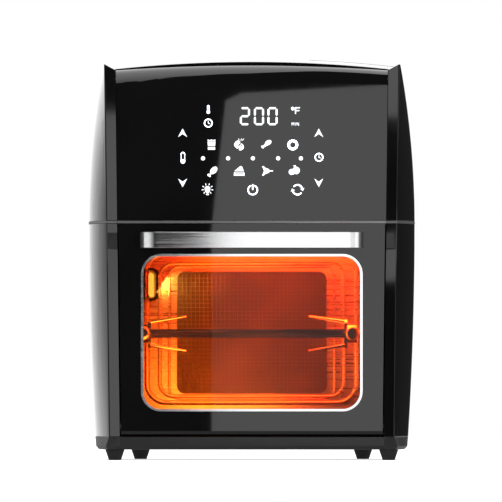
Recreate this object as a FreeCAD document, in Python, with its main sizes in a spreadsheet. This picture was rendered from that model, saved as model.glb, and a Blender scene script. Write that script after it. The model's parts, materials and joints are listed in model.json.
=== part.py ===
import FreeCAD, Part
import math
import os
import re

# A counter-top air fryer oven with a pull-down window door and a rotisserie, in millimetres.
# +X is to the right seen from the front, +Y runs to the back, +Z is up.  The origin is on the
# counter, below the middle of the whole object.  Depths named *_y in front of the origin are
# kept as positive distances.

Vector = FreeCAD.Vector

SIZES = {
    # Outer form.  "low" is at the top of the base, "high" at the peak of the side panels.
    "foot_height": 10,
    "base_top": 22,
    "seam_low": 224,
    "seam_high": 226.2,
    "peak": 374.4,
    "dome_top": 381.3,
    "tip_y": 155,
    "face_y": 148,
    "rear_y": 160,
    "skin": 2.5,
    "side_rear_top": 365.3,
    "tip_half_low": 135,
    "tip_half_high": 139.6,
    "face_half_low": 124.5,
    "face_half_high": 128.8,
    "rear_extra": 3,
    "bulge_half": 155,
    "bulge_drop_low": 6.2,
    "bulge_drop_high": 13.2,
    "base_flare": 4,
    # Control panel
    "panel_low": 226.5,
    "panel_corner": 368.7,
    "panel_crown": 373.6,
    "panel_depth": 15.5,
    "panel_round": 14,
    "panel_wall": 3,
    # Top cover
    "dome_front_y": 132,
    "dome_radius": 400,
    "dome_radius_side": 705,
    "dome_radius_long": 866,
    # Rear cover, spacers and gland
    "cover_thick": 3,
    "spacer_end_y": 178,
    "spacer_half": 95,
    "spacer_height": 300,
    "gland_offset": 100,
    "gland_height": 60,
    # Feet
    "foot_top_radius": 9.2,
    "foot_bottom_radius": 5.8,
    "front_foot_half": 129.4,
    "front_foot_y": 138,
    "rear_foot_half": 106.5,
    "rear_foot_y": 130,
    # Cavity
    "cavity_half": 120,
    "cavity_front_y": 120,
    "cavity_rear_y": 112,
    "cavity_low": 30,
    "cavity_high": 212,
    "gauge": 1,
    "flange_half": 124,
    "flange_low": 24,
    "flange_high": 222,
    # Fan, heater and motor, all on one upright axis
    "fan_y": 4,
    "drum_radius": 84,
    "drum_high": 248,
    "heater_height": 219,
    "heater_tube": 3.3,
    "heater_outer": 76,
    "heater_inner": 62,
    "fan_radius": 64,
    "fan_low": 226,
    "fan_high": 240,
    "shaft_radius": 2.5,
    "shaft_play": 0.05,
    "cooler_radius": 40,
    "cooler_low": 253,
    "cooler_high": 262,
    "bracket_low": 266,
    "motor_radius": 28,
    "motor_high": 302,
    # Lamp
    "lamp_offset": 97,
    "lamp_height": 167,
    # Rotisserie, on one level axis
    "spit_y": 5,
    "spit_height": 120,
    "spit_square": 8,
    "fork_play": 0.25,
    "coupler_radius": 8,
    "fork_base": 99,
    "fork_reach": 35,
    "prong_base": 11,
    "prong_tip": 16.5,
    "fork_shift": 8,
    # Door
    "door_low": 22.6,
    "door_high": 223.8,
    "door_gap": 1,
    "door_thick": 8,
    "window_half": 104.7,
    "window_low": 46.2,
    "window_high": 194.9,
    "window_round": 19,
    "trim_width": 2.2,
    "hinge_y": 139.5,
    "hinge_height": 31.5,
    "hinge_radius": 3,
    "frame_half": 118,
    "frame_low": 25,
    "frame_high": 219,
    "frame_rear_y": 124,
    "pane_half": 108,
    "pane_low": 42,
    "pane_high": 200,
    "pane_round": 18,
    "pane_thick": 4,
    "magnet_length": 16,
    "magnet_low": 206,
    "magnet_high": 214,
    "gasket_half": 116,
    "gasket_low": 32,
    "gasket_high": 205,
    # Handle
    "handle_half": 105.7,
    "handle_low": 200.6,
    "handle_high": 215.5,
    "handle_front_y": 178,
    "handle_thick": 8,
    "handle_end": 13,
}

doc = FreeCAD.newDocument("air_fryer")
sheet = doc.addObject("Spreadsheet::Sheet", "Sizes")
for row, (alias, number) in enumerate(SIZES.items(), start=1):
    sheet.set(f"A{row}", alias)
    sheet.set(f"B{row}", str(number))
    sheet.setAlias(f"B{row}", alias)
doc.recompute()

WORD = re.compile(r"[a-z][a-z0-9_]*")
TURN = {
    "x": FreeCAD.Rotation(Vector(0, 1, 0), 90),
    "y": FreeCAD.Rotation(Vector(1, 0, 0), -90),
    "z": FreeCAD.Rotation(),
}
DIRECTION = {"x": Vector(1, 0, 0), "y": Vector(0, 1, 0), "z": Vector(0, 0, 1)}
subparts = []


# ---------------------------------------------------------------- helpers

def read(alias):
    """The number now in a cell of the sheet."""
    return float(getattr(sheet, alias))


def formula(text):
    """An expression in which every size named in the text points at its cell."""
    return WORD.sub(lambda word: "Sizes." + word[0] if word[0] in SIZES else word[0], str(text))


def place(obj, point):
    """Bind an object's position to three formulas."""
    for axis, text in zip("xyz", point):
        obj.setExpression("Placement.Base." + axis, formula(text))
    return obj


def block(name, low, high):
    """A box between two corners, each given as three formulas."""
    obj = doc.addObject("Part::Box", name)
    for prop, start, end in zip(("Length", "Width", "Height"), low, high):
        obj.setExpression(prop, formula(f"({end}) - ({start})"))
    return place(obj, low)


def rod(name, radius, start, length, axis):
    """A cylinder from a start point along one axis."""
    obj = doc.addObject("Part::Cylinder", name)
    obj.setExpression("Radius", formula(radius))
    obj.setExpression("Height", formula(length))
    obj.Placement = FreeCAD.Placement(Vector(), TURN[axis])
    return place(obj, start)


def cone(name, radius_start, radius_end, start, length, axis):
    """A truncated cone from a start point along one axis."""
    obj = doc.addObject("Part::Cone", name)
    obj.setExpression("Radius1", formula(radius_start))
    obj.setExpression("Radius2", formula(radius_end))
    obj.setExpression("Height", formula(length))
    obj.Placement = FreeCAD.Placement(Vector(), TURN[axis])
    return place(obj, start)


def fuse(name, *pieces):
    obj = doc.addObject("Part::MultiFuse", name)
    obj.Shapes = list(pieces)
    return obj


def cut(name, base, *tools):
    obj = doc.addObject("Part::Cut", name)
    obj.Base = base
    obj.Tool = tools[0] if len(tools) == 1 else fuse(name + "_tools", *tools)
    return obj


def common(name, first, second):
    obj = doc.addObject("Part::Common", name)
    obj.Base = first
    obj.Tool = second
    return obj


def group(name, *pieces):
    """Separate solids that share one sub-part."""
    obj = doc.addObject("Part::Compound", name)
    obj.Links = list(pieces)
    return obj


def mirror(name, source):
    """The same piece on the other side of the middle plane."""
    obj = doc.addObject("Part::Mirroring", name)
    obj.Source = source
    obj.Normal = DIRECTION["x"]
    return obj


def round_edges(name, base, axis, radius, wanted=lambda edge: True):
    """Fillet the straight edges along one axis for which wanted() is true."""
    doc.recompute()
    chosen = []
    for number, edge in enumerate(base.Shape.Edges, start=1):
        if edge.Curve.TypeId != "Part::GeomLine":
            continue
        along = abs(edge.Curve.Direction.dot(DIRECTION[axis]))
        if along > 0.999 and wanted(edge):
            chosen.append((number, radius, radius))
    obj = doc.addObject("Part::Fillet", name)
    obj.Base = base
    obj.Edges = chosen
    return obj


def rounded_block(name, low, high, axis, radius):
    """A box with its four edges along one axis rounded."""
    return round_edges(name, block(name + "_box", low, high), axis, radius)


def ring(name, low, high, axis, radius, width):
    """A rounded rectangular frame of one width, round an opening along one axis."""
    inner_low = [text if key == axis else f"{text} + {width}" for key, text in zip("xyz", low)]
    inner_high = [text if key == axis else f"{text} - {width}" for key, text in zip("xyz", high)]
    outer = rounded_block(name + "_outer", low, high, axis, radius)
    inner = rounded_block(name + "_inner", inner_low, inner_high, axis, max(radius - width, 0.5))
    return cut(name, outer, inner)


def draw(sketch, path):
    """Draw a closed path: each entry is a point and, for an arc, a point that it passes."""
    for (start, via), (end, _) in zip(path, path[1:] + path[:1]):
        first = Vector(*start, 0)
        last = Vector(*end, 0)
        if via is None:
            sketch.addGeometry(Part.LineSegment(first, last))
        else:
            sketch.addGeometry(Part.Arc(first, Vector(*via, 0), last))


def level_sketch(name, path, height):
    """A sketch of its own, level, at one height."""
    sketch = doc.addObject("Sketcher::SketchObject", name)
    draw(sketch, path)
    sketch.Placement = FreeCAD.Placement(Vector(0, 0, height), FreeCAD.Rotation())
    return sketch


def loft(name, sketches, ruled):
    obj = doc.addObject("Part::Loft", name)
    obj.Sections = sketches
    obj.Solid = True
    obj.Ruled = ruled
    return obj


def plane(body, role):
    """A body's own origin plane."""
    return next(item for item in body.Origin.OriginFeatures if item.Role == role)


def body_sketch(body, name, role, offset):
    """A sketch on a body's own plane, moved along its normal."""
    sketch = body.newObject("Sketcher::SketchObject", name)
    sketch.AttachmentSupport = [(plane(body, role), "")]
    sketch.MapMode = "FlatFace"
    sketch.AttachmentOffset = FreeCAD.Placement(Vector(0, 0, offset), FreeCAD.Rotation())
    return sketch


def pad(body, name, sketch, length, backwards=False):
    feature = body.newObject("PartDesign::Pad", name)
    feature.Profile = sketch
    feature.setExpression("Length", formula(length))
    feature.Reversed = backwards
    return feature


def pocket(body, name, sketch, length, backwards=False):
    """A pocket, which must take something away."""
    doc.recompute()
    before = body.Shape.Volume
    feature = body.newObject("PartDesign::Pocket", name)
    feature.Profile = sketch
    feature.setExpression("Length", formula(length))
    feature.Reversed = backwards
    doc.recompute()
    if body.Shape.Volume > before - 1:
        raise RuntimeError(f"{name} cuts nothing")
    return feature


def circle(sketch, x, y, radius):
    sketch.addGeometry(Part.Circle(Vector(x, y, 0), DIRECTION["z"], radius))


def turn_pattern(body, name, features, sketch, count):
    pattern = body.newObject("PartDesign::PolarPattern", name)
    pattern.Originals = features
    pattern.Axis = (sketch, ["N_Axis"])
    pattern.Angle = 360
    pattern.Occurrences = count
    body.Tip = pattern
    return pattern


def row_pattern(body, name, features, sketch, axis, length, count):
    pattern = body.newObject("PartDesign::LinearPattern", name)
    pattern.Originals = features
    pattern.Direction = (sketch, [axis])
    pattern.Length = length
    pattern.Occurrences = count
    body.Tip = pattern
    return pattern


def subpart(label, obj):
    """Name a finished sub-part."""
    obj.Label = label
    subparts.append(obj)
    return obj


# ---------------------------------------------------------------- outer form

def along_height(height, low, high):
    """A width that changes evenly from the top of the base to the peak."""
    share = (height - read("base_top")) / (read("peak") - read("base_top"))
    return read(low) + share * (read(high) - read(low))


def tip_half(height):
    return along_height(height, "tip_half_low", "tip_half_high")


def face_half(height):
    return along_height(height, "face_half_low", "face_half_high")


def rear_half(height):
    return tip_half(height) + read("rear_extra")


def bulge_half(height):
    """The widest half-width, which falls off with the square of the distance from the seam."""
    seam = (read("seam_low") + read("seam_high")) / 2
    if height < seam:
        share = (seam - height) / (seam - read("base_top"))
        return read("bulge_half") - read("bulge_drop_low") * share ** 2
    share = (height - seam) / (read("peak") - seam)
    return read("bulge_half") - read("bulge_drop_high") * share ** 2


def side_path(height):
    """Section of the right side shell: bulging wall and inward-turned front strip."""
    tip, face, rear, bulge = tip_half(height), face_half(height), rear_half(height), bulge_half(height)
    tip_y, face_y, rear_y, skin = -read("tip_y"), -read("face_y"), read("rear_y"), read("skin")
    edge = 0.8
    return [
        ((tip - edge, tip_y), None),
        ((tip, tip_y + edge), (bulge, 0)),
        ((rear, rear_y), None),
        ((rear - skin, rear_y), (bulge - skin, 0)),
        ((tip - skin - 0.4, tip_y + 1.8 * skin), None),
        ((face, face_y + skin), None),
        ((face, face_y), None),
    ]


def outline_path(height, inset, flare=0):
    """Section of the whole body: flat face, two front strips, bulging sides and flat back."""
    tip = tip_half(height) - inset + flare
    tip_y = -read("tip_y") + 1.5 * inset
    face = face_half(height)
    face_y = -read("face_y") + inset
    rear = rear_half(height) - inset
    rear_y = read("rear_y") - max(inset, 0)
    bulge = bulge_half(height) - inset
    return [
        ((-face, face_y), None),
        ((face, face_y), None),
        ((tip, tip_y), (bulge, 0)),
        ((rear, rear_y), None),
        ((-rear, rear_y), (-bulge, 0)),
        ((-tip, tip_y), None),
    ]


def side_shell(name, heights):
    """The right side shell through level sections at the given heights."""
    sections = [level_sketch(f"{name}_section{i}", side_path(z), z) for i, z in enumerate(heights)]
    return loft(name, sections, False)


def spread(low, high, count):
    return [low + (high - low) * step / (count - 1) for step in range(count)]


def make_side_panels():
    lower = side_shell("lower_shell", spread(read("base_top"), read("seam_low"), 4))
    subpart("right_lower_panel", lower)
    subpart("left_lower_panel", mirror("left_lower", lower))
    over_peak = read("peak") + 6
    shell = side_shell("upper_shell", spread(read("seam_high"), over_peak, 5))
    # The top edge falls inward, from the peak down to the corner of the control panel.
    slope = math.degrees(math.atan2(read("peak") - read("panel_corner"),
                                    read("tip_half_high") - read("face_half_high")))
    above = doc.addObject("Part::Box", "upper_shell_above")
    above.Length = 80
    above.Width = 340
    above.Height = 60
    start = Vector(read("face_half_high"), -170, read("panel_corner"))
    turn = FreeCAD.Rotation(Vector(0, 1, 0), -slope)
    above.Placement = FreeCAD.Placement(start - turn.multVec(Vector(30, 0, 0)), turn)
    # Seen from the side the top edge is crowned, and lowest at the back.
    crown = doc.addObject("Sketcher::SketchObject", "upper_crown")
    draw(crown, [((-170, read("peak") + 1.5), (0, read("peak") + 3)), ((170, read("side_rear_top")), None),
                 ((170, read("peak") + 60), None), ((-170, read("peak") + 60), None)])
    crown.Placement = FreeCAD.Placement(Vector(0, 0, 0), FreeCAD.Rotation(Vector(1, 1, 1), 120))
    over = doc.addObject("Part::Extrusion", "upper_crown_cutter")
    over.Base = crown
    over.DirMode = "Custom"
    over.Dir = DIRECTION["x"]
    over.LengthFwd = 200
    over.Solid = True
    upper = cut("upper_panel", shell, above, over)
    subpart("right_upper_panel", upper)
    subpart("left_upper_panel", mirror("left_upper", upper))


def make_base():
    bottom = read("foot_height")
    top = read("base_top")
    wall = read("skin")
    flare = read("base_flare")
    outer = loft("base_outer", [
        level_sketch("base_foot", outline_path(bottom, 2.5, flare), bottom),
        level_sketch("base_heel", outline_path(bottom + 3, 0, 0.75 * flare), bottom + 3),
        level_sketch("base_rim", outline_path(top, 0), top),
    ], True)
    inner = loft("base_inner", [
        level_sketch("base_floor", outline_path(bottom + wall, wall + 1.5), bottom + wall),
        level_sketch("base_mouth", outline_path(top + 1, wall), top + 1),
    ], True)
    subpart("base_pan", cut("base", outer, inner))
    for label, half, y in (("front_feet", "front_foot_half", "-front_foot_y"),
                           ("rear_feet", "rear_foot_half", "rear_foot_y")):
        feet = []
        for side in ("-", ""):
            name = label + ("_left" if side else "_right")
            feet.append(cone(name, "foot_bottom_radius", "foot_top_radius",
                             (f"{side}{half}", y, 0), "foot_height", "z"))
        subpart(label, group(label + "_pair", *feet))


def make_seam():
    low = read("seam_low")
    high = read("seam_high")
    proud = -0.3
    outer = loft("seam_outer", [level_sketch("seam_outer_low", outline_path(low, proud), low),
                                level_sketch("seam_outer_high", outline_path(low, proud), high)], True)
    inner = loft("seam_inner", [level_sketch("seam_inner_low", outline_path(low, 3), low - 1),
                                level_sketch("seam_inner_high", outline_path(low, 3), high + 1)], True)
    subpart("trim_seam", cut("seam", outer, inner))


def make_control_panel():
    """A tray of one wall thickness, open at the back, with its top edge rolled backwards."""
    body = doc.addObject("PartDesign::Body", "control_panel_body")
    low = read("panel_low")
    corner = read("panel_corner")
    crown = read("panel_crown")
    gap = 0.2
    front = body_sketch(body, "control_front", "XZ_Plane", read("face_y"))
    low_half = face_half(low) - gap
    high_half = face_half(corner) - gap
    draw(front, [((-low_half, low), None), ((low_half, low), None),
                 ((high_half, corner), (0, crown)), ((-high_half, corner), None)])
    pad(body, "control_block", front, "panel_depth", True)
    doc.recompute()
    block_feature = body.Tip
    rolled = [f"Edge{i}" for i, edge in enumerate(block_feature.Shape.Edges, start=1)
              if edge.Curve.TypeId == "Part::GeomCircle"
              and edge.BoundBox.YMax < -read("face_y") + 0.01]
    roll = body.newObject("PartDesign::Fillet", "control_roll")
    roll.Base = (block_feature, rolled)
    roll.setExpression("Radius", formula("panel_round"))
    wall = read("panel_wall")
    back = body_sketch(body, "control_back", "XZ_Plane", read("face_y") - read("panel_depth"))
    draw(back, [((wall - low_half, low + wall), None), ((low_half - wall, low + wall), None),
                ((high_half - wall, corner - 3 * wall), (0, crown - 3 * wall)),
                ((wall - high_half, corner - 3 * wall), None)])
    pocket(body, "control_hollow", back, "panel_depth - panel_wall", True)
    subpart("control_panel", body)


def make_top_cover():
    """A shallow dome over the whole upper housing, behind the control panel."""
    height = read("panel_crown")
    play = read("skin") + 0.4
    tip = tip_half(height) - play - 0.4
    rear = rear_half(height) - play
    bulge = bulge_half(height) - play
    front_y = -read("tip_y") + 5
    plan = level_sketch("dome_plan", [((-tip, front_y), None), ((tip, front_y), (bulge, 0)),
                                      ((rear, read("rear_y")), None),
                                      ((-rear, read("rear_y")), (-bulge, 0))], height - 30)
    prism = doc.addObject("Part::Extrusion", "dome_prism")
    prism.Base = plan
    prism.DirMode = "Custom"
    prism.Dir = DIRECTION["z"]
    prism.LengthFwd = 60
    prism.Solid = True
    # The cover ends behind the control panel, but its two front corners reach past the panel's ends.
    behind = cut("dome_behind", block("dome_room", (-200, "-dome_front_y - 13", "peak - 40"),
                                      (200, "rear_y", "peak + 40")),
                 block("dome_panel_room", ("-face_half_high - 0.5", "-dome_front_y - 20", "peak - 50"),
                       ("face_half_high + 0.5", "-dome_front_y", "peak + 50")))
    shells = []
    for name, drop in (("dome_outside", 0), ("dome_inside", read("skin"))):
        shell = doc.addObject("Part::Ellipsoid", name)
        shell.setExpression("Radius1", formula("dome_radius"))
        shell.setExpression("Radius2", formula("dome_radius_side"))
        shell.setExpression("Radius3", formula("dome_radius_long"))
        place(shell, ("0", "0", f"dome_top - dome_radius - {drop}"))
        shells.append(shell)
    capped = common("dome_cap", common("dome_plate", prism, behind), shells[0])
    subpart("top_cover", cut("dome", capped, shells[1]))


def make_rear_cover():
    body = doc.addObject("PartDesign::Body", "rear_cover_body")
    low = read("foot_height") + 2
    corner = 363.3
    crown = 371.5
    face = body_sketch(body, "rear_face", "XZ_Plane", -read("rear_y"))
    draw(face, [((-rear_half(low), low), None), ((rear_half(low), low), None),
                ((rear_half(corner), corner), (0, crown)), ((-rear_half(corner), corner), None)])
    pad(body, "rear_plate", face, "cover_thick", True)
    # One exhaust slot high up and one inlet slot low down, each repeated upwards.
    for name, half, height, length, count in (("exhaust", 62, 236, 99, 12), ("inlet", 40, 130, 36, 5)):
        slot = body_sketch(body, name + "_slot", "XZ_Plane", -read("rear_y"))
        tall = 3.6
        draw(slot, [((-half, height), None), ((half, height), (half + tall / 2, height + tall / 2)),
                    ((half, height + tall), None),
                    ((-half, height + tall), (-half - tall / 2, height + tall / 2))])
        first = pocket(body, name + "_cut", slot, "cover_thick", False)
        row_pattern(body, name + "_row", [first], slot, "V_Axis", length, count)
    subpart("rear_cover", body)

    spacers = []
    for side in ("-", ""):
        name = "spacer_left" if side else "spacer_right"
        spacers.append(cone(name, 11, 8, (f"{side}spacer_half", "rear_y + cover_thick", "spacer_height"),
                            "spacer_end_y - rear_y - cover_thick", "y"))
    subpart("rear_spacers", group("spacer_pair", *spacers))

    gland_at = ("-gland_offset", "rear_y + cover_thick", "gland_height")
    gland = fuse("gland_body", rod("gland_collar", 11, gland_at, 3, "y"),
                 cone("gland_sleeve", 8, 6, gland_at, 13, "y"))
    subpart("cord_gland", cut("gland", gland, rod("gland_bore", 3.6, gland_at, 14, "y")))

    screws = []
    for side in (-1, 1):
        for height, half in ((30, 128), (190, 130), (345, 130)):
            name = f"cover_screw{len(screws)}"
            screws.append(rod(name, 4, (side * half, "rear_y + cover_thick", height), 2, "y"))
    subpart("cover_screws", group("cover_screw_set", *screws))


# ---------------------------------------------------------------- cavity

def make_cavity():
    low = "cavity_low - gauge"
    high = "cavity_high + gauge"
    left = block("left_sheet", ("-cavity_half - gauge", "-cavity_front_y", low),
                 ("-cavity_half", "cavity_rear_y", high))
    drive_hole = rod("drive_hole", "coupler_radius + 1",
                     ("-cavity_half - 5", "-spit_y", "spit_height"), 10, "x")
    subpart("cavity_left_wall", cut("left_wall", left, drive_hole))
    subpart("cavity_right_wall", block("right_wall", ("cavity_half", "-cavity_front_y", low),
                                       ("cavity_half + gauge", "cavity_rear_y", high)))
    subpart("cavity_floor", block("floor", ("-cavity_half", "-cavity_front_y", low),
                                  ("cavity_half", "cavity_rear_y", "cavity_low")))
    roof = block("roof_sheet", ("-cavity_half", "-cavity_front_y", "cavity_high"),
                 ("cavity_half", "cavity_rear_y", high))
    fan_hole = rod("fan_hole", "drum_radius - 2", (0, "-fan_y", "cavity_high - 5"), 10, "z")
    probe_hole = rod("probe_hole", 2, (108, 92, "cavity_high - 5"), 10, "z")
    subpart("cavity_ceiling", cut("roof", roof, fan_hole, probe_hole))

    # Back wall with two nested pressed ribs and an opening for the lamp.
    wall_y = "cavity_rear_y"
    sheet_box = block("back_sheet", ("-cavity_half", wall_y, low),
                      ("cavity_half", "cavity_rear_y + gauge", high))
    ribs = []
    for name, half, bottom, top in (("outer_rib", 112, 40, 204), ("inner_rib", 88, 56, 186)):
        ribs.append(ring(name, (-half, "cavity_rear_y - 1.6", bottom), (half, wall_y, top), "y", 10, 3))
    pressed = fuse("back_pressed", sheet_box, *ribs)
    lamp_hole = rounded_block("lamp_hole", ("-lamp_offset - 5", 100, "lamp_height - 13"),
                              ("-lamp_offset + 5", 120, "lamp_height + 13"), "y", 4.5)
    subpart("cavity_back_wall", cut("back_wall", pressed, lamp_hole))

    flange = block("flange_sheet", ("-flange_half", "-cavity_front_y - gauge", "flange_low"),
                   ("flange_half", "-cavity_front_y", "flange_high"))
    mouth = block("flange_mouth", ("-cavity_half", "-cavity_front_y - 5", "cavity_low"),
                  ("cavity_half", "-cavity_front_y + 5", "cavity_high"))
    plunger_hole = rod("plunger_hole", 1.9, (100, "-cavity_front_y - 5", 217), 10, "y")
    subpart("cavity_front_flange", cut("flange", flange, mouth, plunger_hole))

    rails = []
    for side in ("-", ""):
        for level, height in enumerate((60, 88, 152, 180)):
            name = f"rail_{'left' if side else 'right'}{level}"
            inner, outer = (f"{side}(cavity_half - 6)", f"{side}cavity_half")
            start, end = (outer, inner) if side else (inner, outer)
            rails.append(block(name, (start, -105, height), (end, 98, height + 2)))
    subpart("rack_rails", group("rail_set", *rails))

    tray = rounded_block("tray_block", (-114, -113, 31), (114, 104, 43), "z", 8)
    hollow = rounded_block("tray_hollow", (-113, -112, 32), (113, 103, 50), "z", 7)
    lip = ring("tray_lip", (-117, -116, 42), (117, 107, 43), "z", 11, 4)
    subpart("drip_tray", cut("tray", fuse("tray_form", tray, lip), hollow))

    make_back_mesh()


def make_back_mesh():
    """A perforated screen that stands just in front of the back wall."""
    body = doc.addObject("PartDesign::Body", "back_mesh_body")
    front_y = read("cavity_rear_y") - 4
    face = body_sketch(body, "mesh_face", "XZ_Plane", -front_y)
    draw(face, [((-72, 62), None), ((72, 62), None), ((72, 180), None), ((-72, 180), None)])
    pad(body, "mesh_sheet", face, 1, True)
    window = body_sketch(body, "mesh_window", "XZ_Plane", -front_y)
    side = 8
    pitch = 11
    columns = 12
    rows = 10
    left = -(columns * pitch - (pitch - side)) / 2
    bottom = 121 - (rows * pitch - (pitch - side)) / 2
    draw(window, [((left, bottom), None), ((left + side, bottom), None),
                  ((left + side, bottom + side), None), ((left, bottom + side), None)])
    hole = pocket(body, "mesh_hole", window, 1, False)
    grid = body.newObject("PartDesign::MultiTransform", "mesh_grid")
    grid.Originals = [hole]
    across = body.newObject("PartDesign::LinearPattern", "mesh_across")
    across.Direction = (window, ["H_Axis"])
    across.Length = (columns - 1) * pitch
    across.Occurrences = columns
    upward = body.newObject("PartDesign::LinearPattern", "mesh_upward")
    upward.Direction = (window, ["V_Axis"])
    upward.Length = (rows - 1) * pitch
    upward.Occurrences = rows
    grid.Transformations = [across, upward]
    body.Tip = grid
    subpart("back_mesh", body)


# ---------------------------------------------------------------- heat and air

def heater_path():
    """A flat double loop of tube: out along the outer ring, back along the inner one."""
    centre = Vector(0, -read("fan_y"), read("heater_height"))
    outer = read("heater_outer")
    inner = read("heater_inner")
    bend = 8
    leg_end = 98
    first, last, turn = 30, 15, 345

    def at(radius, degrees, shift=Vector()):
        angle = math.radians(degrees)
        return centre + Vector(radius * math.cos(angle), radius * math.sin(angle), 0) + shift

    def off_bend(radius, degrees, direction):
        """A point on the bend whose centre lies at the given radius and angle."""
        angle = math.radians(direction)
        return at(radius, degrees, Vector(bend * math.cos(angle), bend * math.sin(angle), 0))

    in_centre = outer + bend
    out_centre = inner + bend
    leg_in = off_bend(in_centre, first, -90)
    leg_out = off_bend(out_centre, last, -90)
    middle = (outer + inner) / 2
    return Part.Wire([
        Part.LineSegment(Vector(leg_end, leg_in.y, centre.z), leg_in).toShape(),
        Part.Arc(leg_in, off_bend(in_centre, first, (-90 + first - 180) / 2), at(outer, first)).toShape(),
        Part.Arc(at(outer, first), at(outer, (first + turn) / 2), at(outer, turn)).toShape(),
        Part.Arc(at(outer, turn), at(middle, turn, Vector(
            (outer - inner) / 2 * math.cos(math.radians(turn + 90)),
            (outer - inner) / 2 * math.sin(math.radians(turn + 90)), 0)), at(inner, turn)).toShape(),
        Part.Arc(at(inner, turn), at(inner, (last + turn) / 2), at(inner, last)).toShape(),
        Part.Arc(at(inner, last), off_bend(out_centre, last, (last + 180 + 270) / 2), leg_out).toShape(),
        Part.LineSegment(leg_out, Vector(leg_end, leg_out.y, centre.z)).toShape(),
    ])


def make_heater():
    path = heater_path()
    start = path.OrderedVertexes[0].Point
    profile = Part.Wire([Part.Circle(start, DIRECTION["x"], read("heater_tube")).toShape()])
    tube = doc.addObject("Part::Feature", "heater_tube_sweep")
    tube.Shape = path.makePipeShell([profile], True, False)
    subpart("heater_element", tube)
    return [("heater_leg_hole0", path.OrderedVertexes[0].Point.y),
            ("heater_leg_hole1", path.OrderedVertexes[-1].Point.y)]


def make_air(leg_holes):
    centre = (0, "-fan_y")
    outside = fuse("drum_form",
                   rod("drum_can", "drum_radius", (*centre, "cavity_high + gauge"),
                       "drum_high - cavity_high - gauge", "z"),
                   rod("drum_rim", "drum_radius + 8", (*centre, "cavity_high + gauge"), "gauge", "z"))
    inside = rod("drum_inside", "drum_radius - gauge", (*centre, "cavity_high"),
                 "drum_high - cavity_high - gauge", "z")
    holes = [rod("drum_shaft_hole", 7, (*centre, "drum_high - 5"), 10, "z")]
    for name, y in leg_holes:
        holes.append(rod(name, "heater_tube", (60, y, "heater_height"), 40, "x"))
    subpart("fan_housing", cut("drum", outside, inside, *holes))

    guard = doc.addObject("PartDesign::Body", "fan_guard_body")
    disc = body_sketch(guard, "guard_disc", "XY_Plane", 0)
    circle(disc, 0, 0, read("drum_radius") + 4)
    pad(guard, "guard_plate", disc, 1.5)
    cuts = []
    for name, inner, outer, half in (("guard_short", 14, 42, 2.4), ("guard_long", 48, 80, 3.4)):
        slot = body_sketch(guard, name, "XY_Plane", 0)
        draw(slot, [((inner, -half), None), ((outer, -half), (outer + half, 0)), ((outer, half), None),
                    ((inner, half), (inner - half, 0))])
        cuts.append((name, pocket(guard, name + "_cut", slot, 1.5, True), slot))
    for (name, feature, slot), count in zip(cuts, (12, 24)):
        turn_pattern(guard, name + "_ring", [feature], slot, count)
    place(guard, (0, "-fan_y", "cavity_high - 1.5"))
    subpart("fan_guard", guard)

    for label, low, high, radius, hub, count in (
            ("convection_fan", "fan_low", "fan_high", "fan_radius", 11, 8),
            ("cooling_fan", "cooler_low", "cooler_high", "cooler_radius", 8, 7)):
        fan = doc.addObject("PartDesign::Body", label + "_body")
        boss = body_sketch(fan, label + "_boss", "XY_Plane", 0)
        circle(boss, 0, 0, hub)
        circle(boss, 0, 0, read("shaft_radius"))
        pad(fan, label + "_hub", boss, f"{high} - {low}")
        disc = body_sketch(fan, label + "_disc", "XY_Plane", read(high) - read(low) - 1)
        circle(disc, 0, 0, read(radius) - 2)
        circle(disc, 0, 0, read("shaft_radius"))
        pad(fan, label + "_plate", disc, 1)
        blade = body_sketch(fan, label + "_blade", "XY_Plane", 0)
        reach = read(radius) * 0.985
        draw(blade, [((hub - 1, -2), None), ((reach, 6), (reach * 0.6, 8)), ((reach - 0.4, 7.3), None),
                     ((hub - 1, -0.6), (reach * 0.6, 9.4))])
        first = pad(fan, label + "_vane", blade, f"{high} - {low}")
        turn_pattern(fan, label + "_vanes", [first], blade, count)
        place(fan, (0, "-fan_y", low))
        subpart(label, fan)

    subpart("fan_shaft", rod("shaft", "shaft_radius", (*centre, "fan_low - 2"),
                             "motor_high - fan_low + 4", "z"))

    plate = rounded_block("bracket_plate", (-46, "-fan_y - 22", "bracket_low"),
                          (46, "-fan_y + 22", "bracket_low + 2"), "z", 5)
    legs = [block(f"bracket_leg{side}", (x, "-fan_y - 16", "drum_high"),
                  (x + 2, "-fan_y + 16", "bracket_low"))
            for side, x in enumerate((-45, 43))]
    bracket_hole = rod("bracket_hole", 8, (*centre, "bracket_low - 1"), 4, "z")
    subpart("motor_bracket", cut("bracket", fuse("bracket_form", plate, *legs), bracket_hole))

    motor = fuse("motor_form",
                 rod("motor_can", "motor_radius", (*centre, "bracket_low + 2"), 24, "z"),
                 rod("motor_neck", 12, (*centre, "bracket_low + 2"), "motor_high - bracket_low - 2", "z"),
                 block("motor_coil", (-18, "-fan_y + 20", "bracket_low + 4"),
                       (18, "-fan_y + 38", "bracket_low + 24")))
    bore = rod("motor_bore", "shaft_radius + shaft_play", (*centre, "bracket_low"), 40, "z")
    subpart("fan_motor", cut("motor", motor, bore))

    subpart("temperature_probe", fuse("probe", rod("probe_stem", 2, (108, 92, 192), 30, "z"),
                                      rod("probe_head", 4.5, (108, 92, "cavity_high + gauge"), 6, "z")))


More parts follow.
